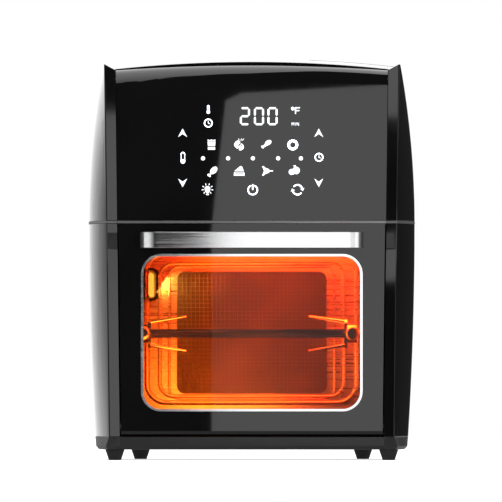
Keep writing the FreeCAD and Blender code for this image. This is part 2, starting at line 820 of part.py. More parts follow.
def make_lamp():
    x = "-lamp_offset"
    z = "lamp_height"
    lens = rounded_block("lens_block", (f"{x} - 8", "cavity_rear_y - 8", f"{z} - 16"),
                         (f"{x} + 8", "cavity_rear_y", f"{z} + 16"), "y", 7.5)
    hollow = rounded_block("lens_hollow", (f"{x} - 6", "cavity_rear_y - 6", f"{z} - 14"),
                           (f"{x} + 6", "cavity_rear_y + 1", f"{z} + 14"), "y", 5.5)
    subpart("lamp_lens", cut("lens", lens, hollow))
    tip = doc.addObject("Part::Sphere", "bulb_tip")
    tip.Radius = 3.2
    place(tip, (x, "cavity_rear_y - 1", f"{z} + 8"))
    bulb = fuse("bulb", rod("bulb_tube", 3.2, (x, "cavity_rear_y - 1", f"{z} - 10"), 18, "z"), tip,
                block("bulb_cap", (f"{x} - 3", "cavity_rear_y - 2", f"{z} - 11.5"),
                      (f"{x} + 3", "cavity_rear_y + 6", f"{z} - 8")))
    subpart("lamp_bulb", bulb)
    shell = block("holder_shell", (f"{x} - 10", "cavity_rear_y + gauge", f"{z} - 18"),
                  (f"{x} + 10", "cavity_rear_y + 20", f"{z} + 18"))
    room = block("holder_room", (f"{x} - 5", "cavity_rear_y", f"{z} - 13"),
                 (f"{x} + 5", "cavity_rear_y + 14", f"{z} + 13"))
    subpart("lamp_holder", cut("holder", shell, room))


# ---------------------------------------------------------------- electronics

def make_electronics():
    subpart("display_module", rounded_block("display", (-32, "-face_y + panel_wall", 308),
                                            (32, "-face_y + 11", 342), "y", 2))
    board_y = "-face_y + 11"
    subpart("control_board", rounded_block("touch_board", (-92, board_y, 242),
                                           (92, f"{board_y} + 1.6", 348), "y", 3))

    plate = block("power_plate", (58, 84, 224), (124, 150, 225.6))
    items = [block("power_transformer", (66, 92, 225.6), (98, 118, 250)),
             rod("power_capacitor", 8, (112, 104, 225.6), 22, "z"),
             block("power_relay", (68, 126, 225.6), (88, 142, 241)),
             block("power_terminals", (96, 130, 225.6), (122, 140, 238))]
    for number, (x, y) in enumerate(((62, 100), (120, 88), (62, 146), (120, 146))):
        items.append(rod(f"power_stand{number}", 2.5, (x, y, "cavity_high + gauge"), 11, "z"))
    subpart("power_board", fuse("power_set", plate, *items))

    case = block("switch_case", (92, "-cavity_front_y", "cavity_high + gauge"),
                 (110, "-cavity_front_y + 12", 221.5))
    bore = rod("switch_bore", 1.55, (100, "-cavity_front_y - 1", 217), 9, "y")
    subpart("door_switch", cut("switch", case, bore))
    subpart("door_switch_plunger", rod("plunger", 1.5, (100, "-frame_rear_y + 0.3", 217),
                                       "frame_rear_y - cavity_front_y + 6", "y"))


# ---------------------------------------------------------------- rotisserie

def make_rotisserie():
    axis = ("-spit_y", "spit_height")

    def square(name, start, end, play="0"):
        """A square bar along the spit axis."""
        reach = f"spit_square / 2 + {play}"
        return block(name, (start, f"{axis[0]} - ({reach})", f"{axis[1]} - ({reach})"),
                     (end, f"{axis[0]} + {reach}", f"{axis[1]} + {reach}"))

    bar = square("spit_bar", -120.4, 100)
    bar_end = rod("spit_journal", "spit_square / 2", (100, *axis), 16, "x")
    stop = rod("spit_stop", 6.5, (104, *axis), 2, "x")
    point = cone("spit_knob", "spit_square / 2", 2.5, (116, *axis), 2, "x")
    subpart("spit_shaft", fuse("spit", bar, bar_end, stop, point))

    drum = rod("coupler_drum", "coupler_radius", (-123.5, *axis), 13.5, "x")
    stub = rod("coupler_stub", 3, (-140, *axis), 16.6, "x")
    socket = square("coupler_socket", -121, -109, "0.15")
    subpart("spit_coupler", cut("coupler", fuse("coupler_form", drum, stub), socket))

    gearbox = rounded_block("gearbox", (-147, "-spit_y - 25", "spit_height - 25"),
                            (-124, "-spit_y + 25", "spit_height + 25"), "x", 8)
    feet = [block(f"gearbox_foot{number}", (-124, "-spit_y - 6", z),
                  ("-cavity_half - gauge", "-spit_y + 6", z + 8))
            for number, z in enumerate((97, 135))]
    motor_bore = rod("gearbox_bore", "3 + shaft_play", (-141, *axis), 20, "x")
    subpart("spit_motor", cut("gearmotor", fuse("gearmotor_form", gearbox, *feet), motor_bore))

    plate = block("support_plate", (107.5, "-spit_y - 11", 98), (109.5, "-spit_y + 11", 126))
    shelf = block("support_shelf", (109.5, "-spit_y - 11", 98), ("cavity_half", "-spit_y + 11", 100))
    back = block("support_back", (118.8, "-spit_y - 11", 98), ("cavity_half", "-spit_y + 11", 126))
    notch = rod("support_notch", "spit_square / 2 + 0.05", (100, *axis), 15, "x")
    mouth = block("support_mouth", (100, "-spit_y - 4.2", "spit_height"), (115, "-spit_y + 4.2", 130))
    subpart("spit_support", cut("support", fuse("support_form", plate, shelf, back), notch, mouth))

    fork, screw = make_left_fork(axis, square)
    for source, label in ((fork, "right_fork"), (screw, "right_fork_screw")):
        other = mirror(label + "_mirrored", source)
        place(other, ("-fork_shift", 0, 0))
        subpart(label, other)


def make_left_fork(axis, square):
    """A boss on the square bar, a cross plate and two splayed prongs, with its thumb screw."""
    boss = rod("fork_boss", 9, ("-fork_base - 9", *axis), 9, "x")
    plate = rounded_block("fork_plate", ("-fork_base", "-spit_y - 6.5", "spit_height - 14"),
                          ("-fork_base + 3", "-spit_y + 6.5", "spit_height + 14"), "x", 6)
    splay = math.degrees(math.atan2(read("prong_tip") - read("prong_base"), read("fork_reach")))
    prongs = []
    for name, side in (("fork_prong_low", -1), ("fork_prong_high", 1)):
        prong = doc.addObject("Part::Cone", name)
        prong.Radius1 = 2
        prong.Radius2 = 0.7
        prong.setExpression("Height", formula("fork_reach"))
        prong.Placement = FreeCAD.Placement(Vector(), FreeCAD.Rotation(DIRECTION["y"], 90 - side * splay))
        place(prong, ("-fork_base + 2", "-spit_y", f"spit_height + {side} * prong_base"))
        prongs.append(prong)
    form = fuse("fork_form", boss, plate, *prongs)
    screw_x = "-fork_base - 5"
    thread = rod("fork_thread", 2.55, (screw_x, "-spit_y - 12", "spit_height"), 8, "y")
    fork = subpart("left_fork", cut("fork", form, square("fork_square", -130, -80, "fork_play"), thread))
    stem = rod("screw_stem", 2.5, (screw_x, "-spit_y - 17", "spit_height"), 12.7, "y")
    head = rod("screw_head", 6.5, (screw_x, "-spit_y - 24", "spit_height"), 7.5, "y")
    wing = rounded_block("screw_wing", (f"{screw_x} - 8.5", "-spit_y - 29", "spit_height - 1.5"),
                         (f"{screw_x} + 8.5", "-spit_y - 22", "spit_height + 1.5"), "z", 3)
    screw = subpart("left_fork_screw", fuse("screw", stem, head, wing))
    return fork, screw


# ---------------------------------------------------------------- door

def make_door():
    back_y = "-face_y + door_thick"
    body = doc.addObject("PartDesign::Body", "door_panel_body")
    low = read("door_low")
    high = read("door_high")
    low_half = face_half(low) - read("door_gap")
    high_half = face_half(high) - read("door_gap")
    face = body_sketch(body, "door_face", "XZ_Plane", read("face_y"))
    draw(face, [((-low_half, low), None), ((low_half, low), None),
                ((high_half, high), None), ((-high_half, high), None)])
    pad(body, "door_slab", face, "door_thick", True)
    doc.recompute()
    slab = body.Tip
    edges = [(number, edge) for number, edge in enumerate(slab.Shape.Edges, start=1)
             if edge.BoundBox.YMax < -read("face_y") + 0.01]
    bottom = [f"Edge{number}" for number, edge in edges if edge.BoundBox.ZMax < low + 1]
    roll = body.newObject("PartDesign::Fillet", "door_heel")
    roll.Base = (slab, bottom)
    roll.Radius = 5
    window = rounded_block("door_window", ("-window_half", -160, "window_low"),
                           ("window_half", -120, "window_high"), "y", read("window_round"))
    rebate = rounded_block("door_rebate", ("-window_half - 5", "-face_y + 3.5", "window_low - 5"),
                           ("window_half + 5", -120, "window_high + 5"), "y", read("window_round") + 3)
    screw_at = [(f"{side}(handle_half - handle_end / 2)", "-face_y - 12", "(handle_low + handle_high) / 2")
                for side in ("-", "")]
    bores = [rod(f"door_screw_hole{number}", 2, point, 30, "y") for number, point in enumerate(screw_at)]
    pin_at = ("-hinge_y", "hinge_height")
    pin_starts = (-131, 109)
    pin_bores = [rod(f"door_pin_hole{number}", "hinge_radius", (x, *pin_at), 22, "x")
                 for number, x in enumerate(pin_starts)]
    subpart("door_panel", cut("door", body, window, rebate, *bores, *pin_bores))

    subpart("window_trim", ring("trim", ("-window_half", "-face_y - 0.8", "window_low"),
                                ("window_half", "-face_y + 3.5", "window_high"), "y",
                                read("window_round"), read("trim_width")))
    subpart("door_glass_outer", rounded_block("outer_glass",
                                              ("-window_half - 5", "-face_y + 3.5", "window_low - 5"),
                                              ("window_half + 5", "-face_y + 7.5", "window_high + 5"),
                                              "y", read("window_round") + 3))

    liner = rounded_block("liner_block", ("-frame_half", back_y, "frame_low"),
                          ("frame_half", "-frame_rear_y", "frame_high"), "y", 4)
    opening = rounded_block("liner_opening", ("-pane_half + 4", -150, "pane_low + 4"),
                            ("pane_half - 4", -110, "pane_high - 4"), "y", read("pane_round") - 2)
    pane_front = "-frame_rear_y - pane_thick"
    pane_room = rounded_block("liner_rebate", ("-pane_half", pane_front, "pane_low"),
                              ("pane_half", -110, "pane_high"), "y", read("pane_round"))
    head_rooms = [rod(f"door_screw_room{number}", 4, (point[0], back_y, point[2]), 3, "y")
                  for number, point in enumerate(screw_at)]
    magnet_starts = (-76, 60)
    magnets = []
    magnet_rooms = []
    for number, x in enumerate(magnet_starts):
        low_corner = (x, "-frame_rear_y - 3", "magnet_low")
        high_corner = (f"{x} + magnet_length", "-frame_rear_y", "magnet_high")
        open_corner = (f"{x} + magnet_length", "-frame_rear_y + 1", "magnet_high")
        magnets.append(block(f"door_magnet{number}", low_corner, high_corner))
        magnet_rooms.append(block(f"door_magnet_room{number}", low_corner, open_corner))
    pins = [rod(f"hinge_pin{number}", "hinge_radius", (x, *pin_at), 22, "x")
            for number, x in enumerate(pin_starts)]
    pin_rooms = [rod(f"hinge_pin_room{number}", "hinge_radius", (x, *pin_at), 22, "x")
                 for number, x in enumerate(pin_starts)]
    rooms = head_rooms + magnet_rooms + pin_rooms
    subpart("door_inner_frame", cut("liner", liner, opening, pane_room, *rooms))
    subpart("door_glass_inner", rounded_block("inner_glass", ("-pane_half", pane_front, "pane_low"),
                                              ("pane_half", "-frame_rear_y - 0.5", "pane_high"),
                                              "y", read("pane_round")))
    subpart("door_magnets", group("door_magnet_pair", *magnets))
    subpart("hinge_pins", group("hinge_pin_pair", *pins))
    subpart("door_gasket", ring("gasket", ("-gasket_half", "-frame_rear_y", "gasket_low"),
                                ("gasket_half", "-cavity_front_y - gauge - 0.3", "gasket_high"),
                                "y", 12, 5))
    strikers = [block(f"striker{number}", (x, "-cavity_front_y - gauge - 0.8", "magnet_low + 7"),
                      (f"{x} + magnet_length", "-cavity_front_y - gauge", "magnet_high + 6"))
                for number, x in enumerate(magnet_starts)]
    subpart("striker_plates", group("striker_pair", *strikers))

    blocks = []
    for side in ("-", ""):
        name = "hinge_block_left" if side else "hinge_block_right"
        inner, outer = f"{side}124.6", f"{side}133"
        start, end = (outer, inner) if side else (inner, outer)
        solid = rounded_block(name, (start, -144.5, 21), (end, -127, 42), "x", 3)
        bore = rod(name + "_bore", "hinge_radius + shaft_play", (start, *pin_at), 10, "x")
        blocks.append(cut(name + "_bored", solid, bore))
    subpart("hinge_blocks", group("hinge_block_pair", *blocks))
    make_handle(screw_at)


def make_handle(screw_at):
    """A flat bar whose ends turn back to the door."""
    form = block("handle_form", ("-handle_half", "-handle_front_y", "handle_low"),
                 ("handle_half", "-face_y", "handle_high"))
    def faces_user(edge):
        return edge.BoundBox.YMax < -read("face_y") - 1

    outer_round = round_edges("handle_corners", form, "z", 16, faces_user)
    gap_low = ("-handle_half + handle_end", "-handle_front_y + handle_thick", "handle_low - 1")
    gap_high = ("handle_half - handle_end", "-face_y + 1", "handle_high + 1")
    gap = block("handle_gap", gap_low, gap_high)
    inner = round_edges("handle_inside", gap, "z", 9, faces_user)
    tapped = [rod(f"handle_tapping{number}", 2, point, 13, "y") for number, point in enumerate(screw_at)]
    subpart("handle_bar", cut("handle", outer_round, inner, *tapped))
    screws = []
    for number, point in enumerate(screw_at):
        stem = rod(f"handle_screw_stem{number}", 2, point, 20, "y")
        head = rod(f"handle_screw_head{number}", 4, (point[0], "-face_y + door_thick", point[2]), 3, "y")
        screws.append(fuse(f"handle_screw{number}", stem, head))
    subpart("handle_screws", group("handle_screw_pair", *screws))


# ---------------------------------------------------------------- build and write

make_side_panels()
make_base()
make_seam()
make_control_panel()
make_top_cover()
make_rear_cover()
make_cavity()
make_air(make_heater())
make_lamp()
make_electronics()
make_rotisserie()
make_door()
doc.recompute()

for obj in doc.Objects:
    if "Invalid" in obj.State or "Error" in obj.State:
        raise RuntimeError(f"{obj.Name} failed: {obj.State}")
for obj in subparts:
    if obj.Shape.isNull() or not obj.Shape.isValid():
        raise RuntimeError(f"{obj.Label} has no valid shape")
os.makedirs("parts", exist_ok=True)
for obj in subparts:
    obj.Shape.exportStep(f"parts/{obj.Label}.step")
print(len(subparts), "sub-parts written")
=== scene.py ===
"""Looks of the counter-top air fryer oven: materials, fine pieces, studio and camera, in metres."""

import json
import math

import bmesh
import bpy
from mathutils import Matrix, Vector

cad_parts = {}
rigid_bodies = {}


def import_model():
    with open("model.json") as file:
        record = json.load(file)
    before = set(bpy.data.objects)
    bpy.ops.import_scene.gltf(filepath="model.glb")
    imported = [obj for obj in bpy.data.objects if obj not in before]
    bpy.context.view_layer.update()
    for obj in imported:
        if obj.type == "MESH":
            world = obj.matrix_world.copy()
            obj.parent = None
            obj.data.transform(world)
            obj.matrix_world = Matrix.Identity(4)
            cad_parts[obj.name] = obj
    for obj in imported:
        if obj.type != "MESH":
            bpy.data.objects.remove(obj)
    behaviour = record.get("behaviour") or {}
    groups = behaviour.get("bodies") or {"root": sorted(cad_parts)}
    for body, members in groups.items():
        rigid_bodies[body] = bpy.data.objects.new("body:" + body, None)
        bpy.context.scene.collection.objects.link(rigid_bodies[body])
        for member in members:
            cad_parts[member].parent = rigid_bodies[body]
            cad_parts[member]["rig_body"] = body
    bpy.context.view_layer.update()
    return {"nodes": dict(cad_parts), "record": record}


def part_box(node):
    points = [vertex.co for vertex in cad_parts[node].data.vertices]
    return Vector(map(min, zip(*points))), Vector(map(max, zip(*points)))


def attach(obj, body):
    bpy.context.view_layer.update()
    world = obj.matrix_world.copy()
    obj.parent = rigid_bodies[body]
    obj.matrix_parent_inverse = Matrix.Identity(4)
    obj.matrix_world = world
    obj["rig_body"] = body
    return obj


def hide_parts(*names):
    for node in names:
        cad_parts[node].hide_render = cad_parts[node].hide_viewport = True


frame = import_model()
NODES = frame["nodes"]
RECORD = frame["record"]
SLOT_OF = {entry["node"]: entry["material_slot"] for entry in RECORD["subparts"]}
MM = 0.001
FRONT_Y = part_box("control_panel")[0].y


# ---------------------------------------------------------------- materials

class Shader:
    """A node material built round one Principled shader."""

    def __init__(self, name, colour, roughness, metallic=0.0):
        self.material = bpy.data.materials.new(name)
        self.material.use_nodes = True
        self.nodes = self.material.node_tree.nodes
        self.links = self.material.node_tree.links
        self.main = self.nodes["Principled BSDF"]
        self.main.inputs["Base Color"].default_value = (*colour, 1)
        self.main.inputs["Roughness"].default_value = roughness
        self.main.inputs["Metallic"].default_value = metallic
        self.place = self.nodes.new("ShaderNodeTexCoord").outputs["Object"]

    def set(self, **values):
        """Set constants on the shader's own sockets."""
        for key, value in values.items():
            self.main.inputs[key.replace("_", " ")].default_value = value
        return self

    def noise(self, scale, stretch=(1, 1, 1), detail=3.0):
        """Noise in the object's own space, stretched along its axes."""
        mapping = self.nodes.new("ShaderNodeMapping")
        mapping.inputs["Scale"].default_value = stretch
        self.links.new(self.place, mapping.inputs["Vector"])
        texture = self.nodes.new("ShaderNodeTexNoise")
        texture.inputs["Scale"].default_value = scale
        texture.inputs["Detail"].default_value = detail
        self.links.new(mapping.outputs["Vector"], texture.inputs["Vector"])
        return texture.outputs["Fac"]

    def spread(self, source, low, high, start=0.3, end=0.7):
        """Map a value between start and end onto low and high."""
        node = self.nodes.new("ShaderNodeMapRange")
        for key, value in (("From Min", start), ("From Max", end), ("To Min", low), ("To Max", high)):
            node.inputs[key].default_value = value
        self.links.new(source, node.inputs["Value"])
        return node.outputs["Result"]

    def rough(self, source, low, high):
        self.links.new(self.spread(source, low, high), self.main.inputs["Roughness"])
        return self

    def tint(self, source, first, second, start=0.35, end=0.65):
        """Vary the base colour between two tones."""
        ramp = self.nodes.new("ShaderNodeValToRGB")
        ramp.color_ramp.elements[0].position = start
        ramp.color_ramp.elements[0].color = (*first, 1)
        ramp.color_ramp.elements[1].position = end
        ramp.color_ramp.elements[1].color = (*second, 1)
        self.links.new(source, ramp.inputs["Fac"])
        self.links.new(ramp.outputs["Color"], self.main.inputs["Base Color"])
        return self

    def bump(self, source, depth, strength=1.0):
        node = self.nodes.new("ShaderNodeBump")
        node.inputs["Strength"].default_value = strength
        node.inputs["Distance"].default_value = depth
        self.links.new(source, node.inputs["Height"])
        self.links.new(node.outputs["Normal"], self.main.inputs["Normal"])
        return self

    def glow(self, colour, strength):
        self.main.inputs["Emission Color"].default_value = (*colour, 1)
        self.main.inputs["Emission Strength"].default_value = strength
        return self


def gloss_black(name, colour, roughness, wave):
    """Polished black moulding: a faint long wave in the surface and a slightly uneven polish."""
    shader = Shader(name, colour, roughness)
    shader.tint(shader.noise(14), colour, tuple(1.25 * tone for tone in colour))
    shader.rough(shader.noise(60, detail=6), roughness * 0.8, roughness * 1.25)
    shader.bump(shader.noise(9, detail=1), wave)
    return shader.set(IOR=1.5)


def grained_plastic(name, colour, roughness, grain=900, depth=0.00006):
    """Spark-eroded plastic with a fine leather-like grain."""
    shader = Shader(name, colour, roughness)
    shader.tint(shader.noise(45), colour, tuple(1.12 * tone + 0.0004 for tone in colour))
    shader.rough(shader.noise(350), roughness * 0.85, min(1.0, roughness * 1.15))
    return shader.bump(shader.noise(grain, detail=2), depth, 0.6)


def brushed(name, colour, roughness, along, depth=0.00002, stained=None):
    """Metal with fine drawn lines along one axis."""
    stretch = [160 if axis != along else 3 for axis in "xyz"]
    shader = Shader(name, colour, roughness, 1.0)
    lines = shader.noise(5, stretch, 4)
    if stained:
        shader.tint(shader.noise(12, detail=5), colour, stained)
    else:
        shader.tint(lines, tuple(0.9 * tone for tone in colour), colour)
    shader.rough(lines, roughness * 0.75, roughness * 1.3)
    return shader.bump(lines, depth, 0.5)


def coated_sheet(name, colour, roughness):
    """Dark baked coating with an orange-peel surface and worn, slightly lighter patches."""
    shader = Shader(name, colour, roughness)
    shader.tint(shader.noise(30, detail=6), colour, tuple(2.2 * tone + 0.004 for tone in colour), 0.45, 0.8)
    shader.rough(shader.noise(120), roughness * 0.8, roughness * 1.3)
    return shader.bump(shader.noise(420, detail=1), 0.00005, 0.5)


def rubber(name, colour, roughness):
    shader = Shader(name, colour, roughness)
    shader.tint(shader.noise(60, detail=5), colour, tuple(1.8 * tone + 0.004 for tone in colour))
    shader.rough(shader.noise(500), roughness * 0.9, min(1.0, roughness * 1.1))
    return shader.bump(shader.noise(1400, detail=2), 0.00004, 0.5)


def clear_glass(name, colour, roughness=0.0, index=1.5):
    shader = Shader(name, colour, roughness)
    shader.set(Transmission_Weight=1.0, IOR=index)
    return shader


def circuit_green(name):
    """Solder mask with copper tracks just visible under it."""
    shader = Shader(name, (0.01, 0.07, 0.03), 0.35)
    voronoi = shader.nodes.new("ShaderNodeTexVoronoi")
    voronoi.feature = "DISTANCE_TO_EDGE"
    voronoi.inputs["Scale"].default_value = 180
    shader.links.new(shader.place, voronoi.inputs["Vector"])
    tracks = voronoi.outputs["Distance"]
    shader.tint(tracks, (0.03, 0.16, 0.06), (0.008, 0.06, 0.025), 0.03, 0.09)
    return shader.bump(tracks, 0.00005, 0.4)


MATERIALS = {
    "gloss_black_front": gloss_black("gloss_black_front", (0.0045, 0.0045, 0.005), 0.035, 0.00001),
    "gloss_black_side": gloss_black("gloss_black_side", (0.0035, 0.0035, 0.004), 0.045, 0.000005),
    "silver_trim": brushed("silver_trim", (0.86, 0.86, 0.87), 0.2, "x", 0.00001),
    "matte_black_plastic": grained_plastic("matte_black_plastic", (0.012, 0.012, 0.013), 0.42),
    "foot_rubber": rubber("foot_rubber", (0.006, 0.006, 0.006), 0.65),
    "zinc_screw": brushed("zinc_screw", (0.6, 0.6, 0.62), 0.3, "x"),
    "cavity_steel": brushed("cavity_steel", (0.66, 0.6, 0.54), 0.3, "x", 0.00002, (0.5, 0.4, 0.33)),
    "dark_mesh": coated_sheet("dark_mesh", (0.05, 0.045, 0.04), 0.45),
    "bright_wire": brushed("bright_wire", (0.75, 0.75, 0.75), 0.22, "y"),
    "dark_tray": coated_sheet("dark_tray", (0.02, 0.02, 0.021), 0.35),
    "heater_sheath": coated_sheet("heater_sheath", (0.12, 0.05, 0.03), 0.55).glow((1.0, 0.08, 0.008), 5.0),
    "fan_aluminium": brushed("fan_aluminium", (0.77, 0.77, 0.78), 0.32, "x"),
    "fan_plastic": grained_plastic("fan_plastic", (0.05, 0.05, 0.055), 0.5),
    "polished_shaft": brushed("polished_shaft", (0.7, 0.7, 0.71), 0.18, "y"),
    "zinc_bracket": brushed("zinc_bracket", (0.6, 0.61, 0.63), 0.36, "y", 0.00002, (0.5, 0.52, 0.56)),
    "motor_steel": coated_sheet("motor_steel", (0.2, 0.2, 0.21), 0.4),
    "lamp_ceramic": grained_plastic("lamp_ceramic", (0.75, 0.72, 0.66), 0.4),
    "lamp_glow": Shader("lamp_glow", (1.0, 0.8, 0.45), 0.2).glow((1.0, 0.42, 0.05), 1.6),
    "lamp_glass": clear_glass("lamp_glass", (1.0, 0.97, 0.92), 0.03),
    "spit_steel": brushed("spit_steel", (0.8, 0.79, 0.78), 0.16, "x", 0.00001),
    "circuit_board": circuit_green("circuit_board"),
    "display_black": gloss_black("display_black", (0.006, 0.006, 0.006), 0.08, 0.00001),
    "switch_plastic": grained_plastic("switch_plastic", (0.5, 0.5, 0.48), 0.45),
    "magnet_grey": brushed("magnet_grey", (0.5, 0.5, 0.52), 0.3, "z"),
    "door_glass": clear_glass("door_glass", (0.97, 0.94, 0.92), 0.0, 1.2),
    "gasket_silicone": rubber("gasket_silicone", (0.03, 0.028, 0.026), 0.55),
    "brushed_handle": brushed("brushed_handle", (0.68, 0.68, 0.69), 0.16, "x", 0.000003),
}
SEAM_SATIN = brushed("seam_satin", (0.26, 0.26, 0.265), 0.42, "x", 0.000005).material
PRINT_WHITE = Shader("print_white", (0.9, 0.92, 0.95), 0.4).glow((0.92, 0.96, 1.0), 0.9).material


def dress(node, material):
    """Give a CAD node one material."""
    slots = NODES[node].data.materials
    slots.clear()
    slots.append(material)


for node in NODES:
    dress(node, MATERIALS[SLOT_OF[node]].material)
dress("trim_seam", SEAM_SATIN)
dress("hinge_pins", MATERIALS["motor_steel"].material)


# ---------------------------------------------------------------- mesh helpers

def link(obj, body, slot, material=None):
    """Put a new piece in the scene, on its body, with the finish of a slot."""
    if obj.name not in bpy.context.scene.collection.objects:
        bpy.context.scene.collection.objects.link(obj)
    if material or not obj.data.materials:
        obj.data.materials.clear()
        obj.data.materials.append(material or MATERIALS[slot].material)
    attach(obj, body)
    return obj


def mesh_object(name, build):
    """A mesh piece filled by a function that gets an empty bmesh."""
    mesh = bpy.data.meshes.new(name)
    shape = bmesh.new()
    build(shape)
    bmesh.ops.recalc_face_normals(shape, faces=shape.faces)
    shape.to_mesh(mesh)
    shape.free()
    return bpy.data.objects.new(name, mesh)


def smooth(obj, angle=35):
    """Smooth shading that keeps edges sharper than the angle."""
    mesh = obj.data
    mesh.polygons.foreach_set("use_smooth", [True] * len(mesh.polygons))
    mesh.set_sharp_from_angle(angle=math.radians(angle))
    return obj


def apply_modifiers(obj):
    """Replace a piece's mesh by what its modifiers make of it."""
    if obj.name not in bpy.context.scene.collection.objects:
        bpy.context.scene.collection.objects.link(obj)
    graph = bpy.context.evaluated_depsgraph_get()
    final = bpy.data.meshes.new_from_object(obj.evaluated_get(graph))
    obj.modifiers.clear()
    obj.data = final
    return obj


def soften(node, width, segments=3, angle=32):
    """Replace a CAD node by a copy of itself whose sharp edges are rounded."""
    source = NODES[node]
    piece = bpy.data.objects.new(node + "_soft", source.data.copy())
    shape = bmesh.new()
    shape.from_mesh(piece.data)
    bmesh.ops.remove_doubles(shape, verts=shape.verts, dist=0.002 * MM)
    bmesh.ops.dissolve_limit(shape, angle_limit=math.radians(0.3), verts=shape.verts, edges=shape.edges)
    shape.to_mesh(piece.data)
    shape.free()
    bevel = piece.modifiers.new("edge", "BEVEL")
    bevel.width = width
    bevel.segments = segments
    bevel.limit_method = "ANGLE"
    bevel.angle_limit = math.radians(angle)
    bevel.use_clamp_overlap = True
    smooth(piece, angle)
    weigh = piece.modifiers.new("flats", "WEIGHTED_NORMAL")
    weigh.keep_sharp = False
    weigh.weight = 100
    apply_modifiers(piece)
    link(piece, source["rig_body"], SLOT_OF[node])
    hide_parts(node)
    return piece


def ring(shape, centre, side, up, radius, sides):
    """A circle of vertices round a centre, in the plane of two directions."""
    corners = []
    for step in range(sides):
        angle = 2 * math.pi * step / sides
        corners.append(shape.verts.new(centre + radius * (side * math.cos(angle) + up * math.sin(angle))))
    return corners


def bridge(shape, first, second):
    """Faces between two loops with the same number of vertices."""
    for step in range(len(first)):
        after = (step + 1) % len(first)
        shape.faces.new((first[step], first[after], second[after], second[step]))


def shell(shape, loops):
    """A closed form through loops of vertices, capped at both ends."""
    for first, second in zip(loops, loops[1:]):
        bridge(shape, first, second)
    shape.faces.new(loops[0])
    shape.faces.new(list(reversed(loops[-1])))


def tube(shape, points, radius, sides=8, closed=False):
    """A round bar through points."""
    count = len(points)
    rings = []
    side = None
    for index, point in enumerate(points):
        before = points[index - 1] if closed or index else point
        after = points[(index + 1) % count] if closed or index < count - 1 else point
        along = (Vector(after) - Vector(before)).normalized()
        across = along.orthogonal() if side is None else side - along * side.dot(along)
        side = across.normalized()
        rings.append(ring(shape, Vector(point), side, along.cross(side), radius, sides))
    if not closed:
        shell(shape, rings)
        return
    for first, second in zip(rings, rings[1:] + rings[:1]):
        bridge(shape, first, second)


def turned(shape, profile, centre, axis, sides):
    """A turned form: (along, radius) pairs round an axis through a centre, closed to a point at both ends."""
    along = Vector(axis).normalized()
    side = along.orthogonal().normalized()
    up = along.cross(side)
    places = [Vector(centre) + along * height for height, _ in profile]
    start, end = shape.verts.new(places[0]), shape.verts.new(places[-1])
    rings = [ring(shape, place, side, up, radius, sides)
             for place, (_, radius) in zip(places[1:-1], profile[1:-1])]
    for first, second in zip(rings, rings[1:]):
        bridge(shape, first, second)
    for step in range(sides):
        after = (step + 1) % sides
        shape.faces.new((start, rings[0][after], rings[0][step]))
        shape.faces.new((end, rings[-1][step], rings[-1][after]))


# ---------------------------------------------------------------- panel graphics

PRINT_DEPTH = 0.12 * MM


def flat_prism(shape, outline):
    """A thin raised print: a closed outline of (x, z) in metres, standing on the panel."""
    shell(shape, [[shape.verts.new((x, y, z)) for x, z in outline]
                  for y in (FRONT_Y - PRINT_DEPTH, FRONT_Y + PRINT_DEPTH / 2)])


def stroke(shape, points, width, closed=False):
    """A printed line of one width through (x, z) points, as one prism per run, with round joints."""
    for (x0, z0), (x1, z1) in zip(points, points[1:] + (points[:1] if closed else [])):
        heading = math.atan2(z1 - z0, x1 - x0)
        outline = []
        for end_x, end_z, start in ((x0, z0, heading + math.pi / 2), (x1, z1, heading - math.pi / 2)):
            for step in range(5):
                angle = start + math.pi * step / 4
                outline.append((end_x + width / 2 * math.cos(angle), end_z + width / 2 * math.sin(angle)))
        flat_prism(shape, outline)


def arc(x, z, radius, start, end, count=24):
    """Points along an arc, angles in degrees."""
    return [(x + radius * math.cos(math.radians(start + (end - start) * step / count)),
             z + radius * math.sin(math.radians(start + (end - start) * step / count)))
            for step in range(count + 1)]


def spun(u, v, angle):
    """A point turned round the origin."""
    return u * math.cos(angle) - v * math.sin(angle), u * math.sin(angle) + v * math.cos(angle)


def oval(x, z, long, wide, lean, count=20):
    """Points round an oval whose long axis leans up from the horizontal, in degrees."""
    points = []
    for step in range(count):
        angle = 2 * math.pi * step / count
        u, v = spun(long * math.cos(angle), wide * math.sin(angle), math.radians(lean))
        points.append((x + u, z + v))
    return points


class Icon:
    """Draws in millimetres round a centre on the panel, with one pen."""

    def __init__(self, shape, x, z, pen=0.75, size=1.0):
        self.shape, self.x, self.z, self.pen, self.size = shape, x, z, pen, size

    def at(self, points):
        return [((self.x + self.size * x) * MM, (self.z + self.size * z) * MM) for x, z in points]

    def line(self, *points, closed=False, pen=None):
        stroke(self.shape, self.at(points), (pen or self.pen) * MM, closed)
        return self

    def fill(self, *points):
        flat_prism(self.shape, self.at(points))
        return self

    def ring(self, x, z, radius, start=0, end=360, pen=None):
        points = arc(x, z, radius, start, end)
        whole = abs(end - start) >= 360
        return self.line(*(points[:-1] if whole else points), closed=whole, pen=pen)

    def disc(self, x, z, radius):
        return self.fill(*arc(x, z, radius, 0, 360)[:-1])


def thermometer(icon, stem=1.15):
    """A filled bulb under an outlined stem."""
    icon.line(*arc(0, 3.6, stem, 0, 180, 8), (-stem, -2.4), (stem, -2.4), closed=True, pen=0.9)
    icon.disc(0, -2.9, 2.1)


def clock(icon):
    icon.ring(0, 0, 3.6, pen=1.1).line((0, 1.9), (0, 0), (1.5, -0.7), pen=0.7)


def arrow(icon, up):
    """A solid arrowhead with a notched base."""
    sign = 1 if up else -1
    for side in (-1, 1):
        icon.fill((0, 4.1 * sign), (4.3 * side, -4.0 * sign), (0, -1.0 * sign))


